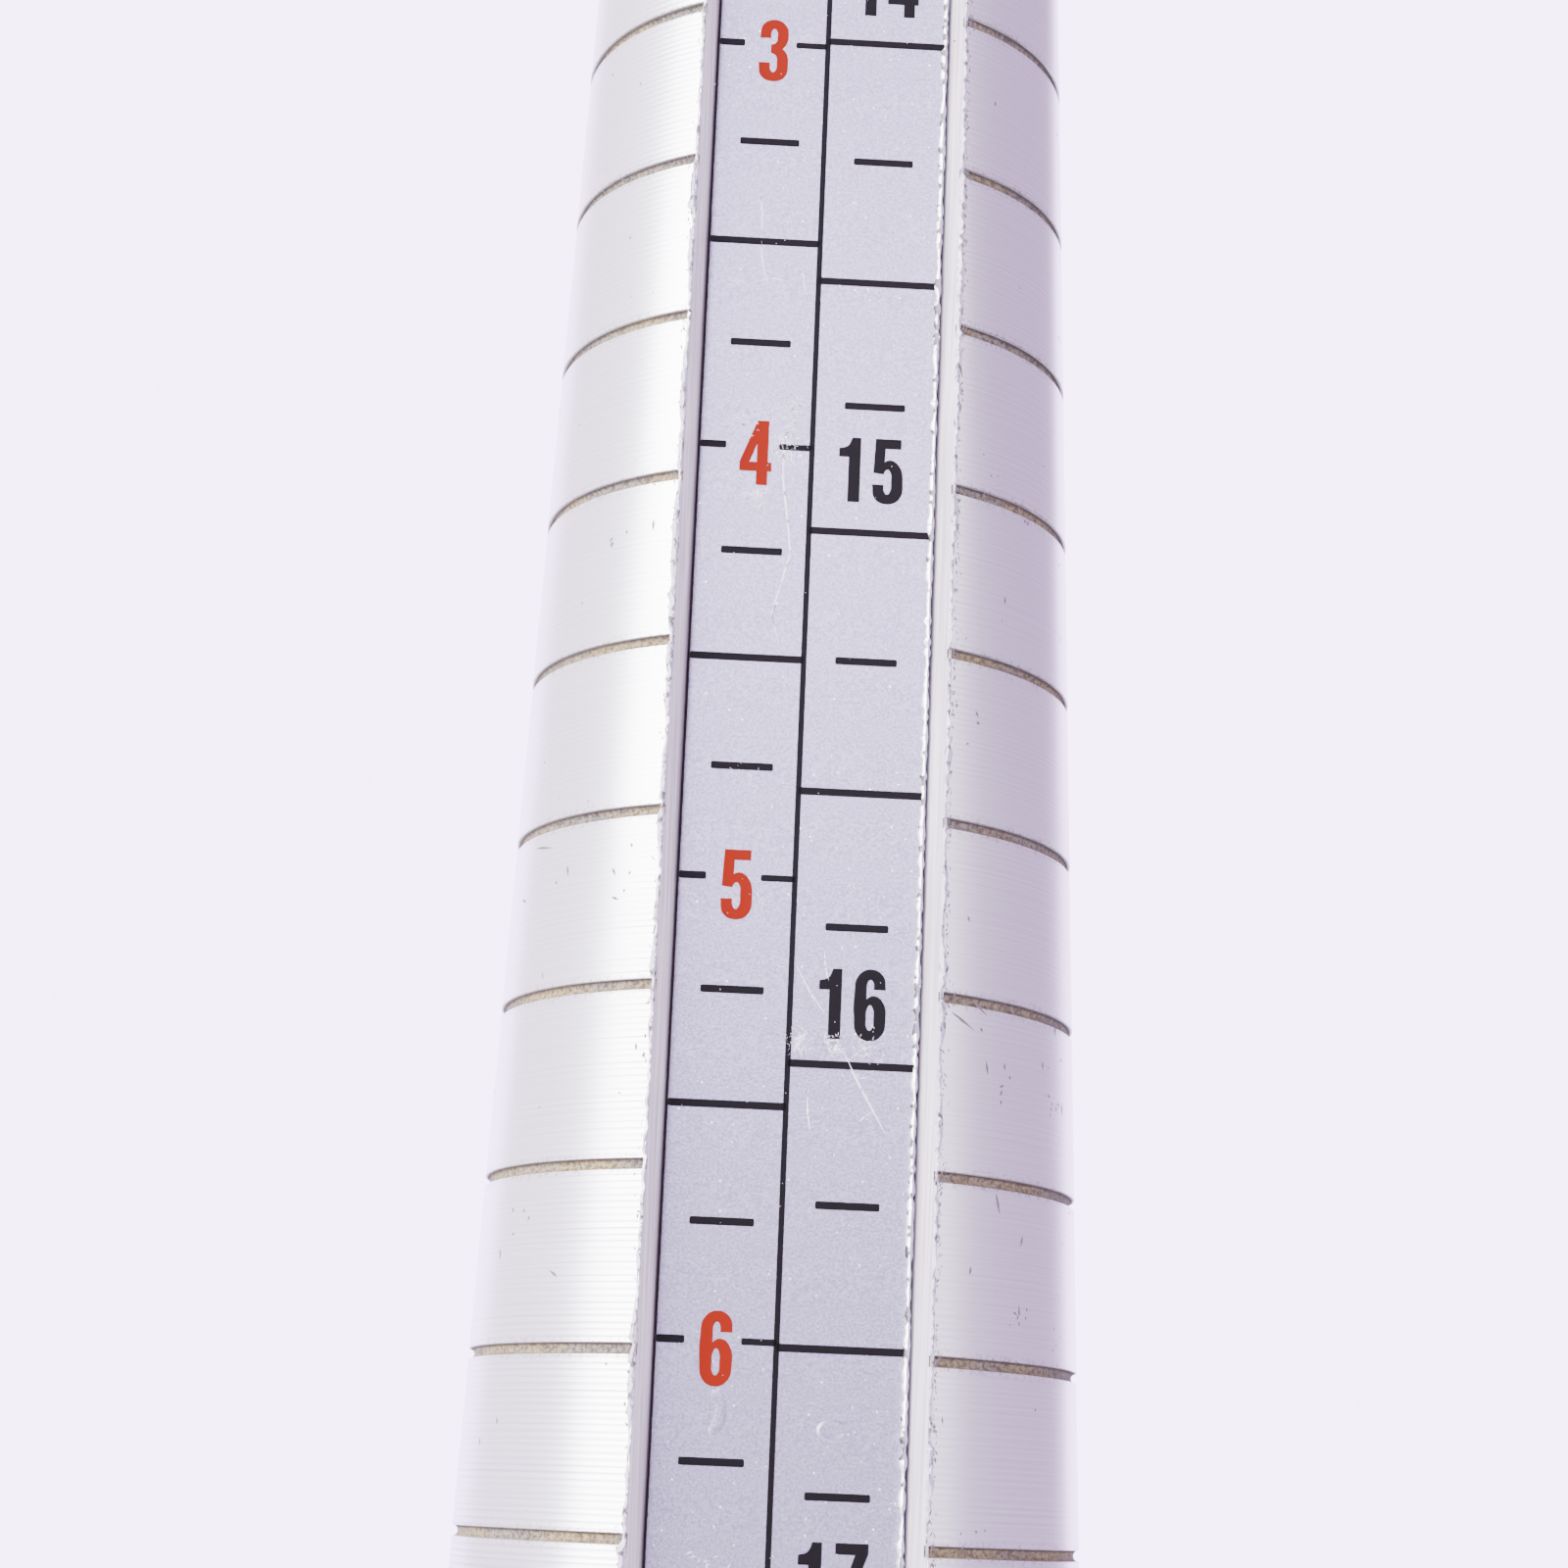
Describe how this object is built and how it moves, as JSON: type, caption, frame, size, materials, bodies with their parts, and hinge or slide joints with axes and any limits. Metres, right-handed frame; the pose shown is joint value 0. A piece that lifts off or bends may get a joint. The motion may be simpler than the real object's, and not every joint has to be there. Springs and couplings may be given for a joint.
{
  "type": "ring mandrel",
  "caption": "Tapered, grooved aluminium ring sizing mandrel with printed scale labels in milled channels and a moulded plastic handle.",
  "frame": {"origin": "centre of the butt end of the handle, on the surface the mandrel stands on", "axes": "+Z along the mandrel towards its narrow tip; -Y faces the front scale label; +X completes a right-handed frame"},
  "size_m": [0.031, 0.031, 0.2757],
  "materials": {
    "bare_aluminium": "fine-turned bare aluminium, satin, with feed lines round it",
    "scale_film": "printed metallised silver-grey film, satin, black and red print",
    "adhesive_film": "thin double-sided adhesive film",
    "grip_plastic": "black moulded plastic with a fine textured skin",
    "cap_plastic": "black moulded plastic, slightly smoother than the grip",
    "zinc_steel": "bright zinc-plated steel",
    "spring_steel": "dark tempered spring steel"
  },
  "bodies": {
    "root": {"mandrel_shaft": "bare_aluminium", "front_scale_label": "scale_film", "rear_scale_label": "scale_film", "front_label_adhesive": "adhesive_film", "rear_label_adhesive": "adhesive_film", "handle_collar": "bare_aluminium", "handle_grip": "grip_plastic", "handle_screw": "zinc_steel", "flat_washer": "zinc_steel", "lock_washer": "spring_steel", "end_cap": "cap_plastic"}
  },
  "joints": []
}
